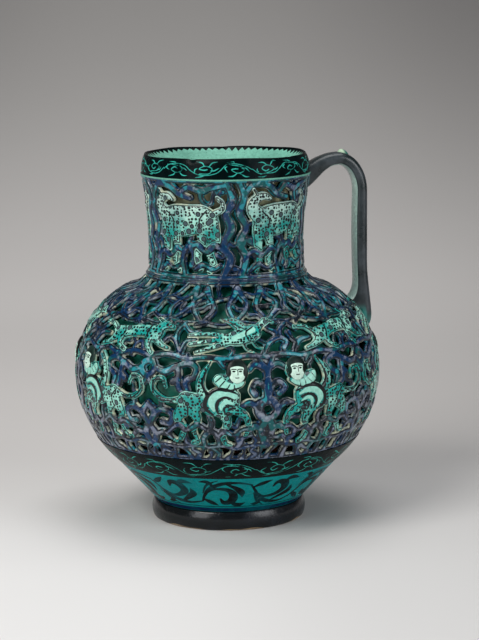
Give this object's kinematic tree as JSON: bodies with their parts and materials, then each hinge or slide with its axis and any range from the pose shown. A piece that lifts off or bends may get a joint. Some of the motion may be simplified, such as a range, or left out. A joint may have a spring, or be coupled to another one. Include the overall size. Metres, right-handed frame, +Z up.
{
  "type": "double-walled openwork jug",
  "caption": "Glazed ceramic jug with a pierced outer shell around a plain inner vessel, a wide neck, a strap handle with a thumb rest and a turned foot.",
  "frame": {"origin": "centre of the foot's resting plane, on the table", "axes": "+Z up along the jug's axis, +X towards the handle"},
  "size_m": [0.1692, 0.1692, 0.2032],
  "materials": {
    "foot": "gloss",
    "bowl": "gloss",
    "bands": "gloss",
    "openwork": "gloss",
    "collar": "gloss",
    "liner": "gloss",
    "handle": "gloss",
    "thumb_rest": "gloss"
  },
  "bodies": {
    "root": {"foot_ring": "foot", "base_bowl": "bowl", "belt_band": "bands", "belly_shell": "openwork", "shoulder_shell": "openwork", "neck_collar": "collar", "neck_shell": "openwork", "rim_band": "bands", "liner_belly": "liner", "liner_shoulder": "liner", "liner_neck": "liner", "handle": "handle", "thumb_rest": "thumb_rest"}
  },
  "joints": []
}
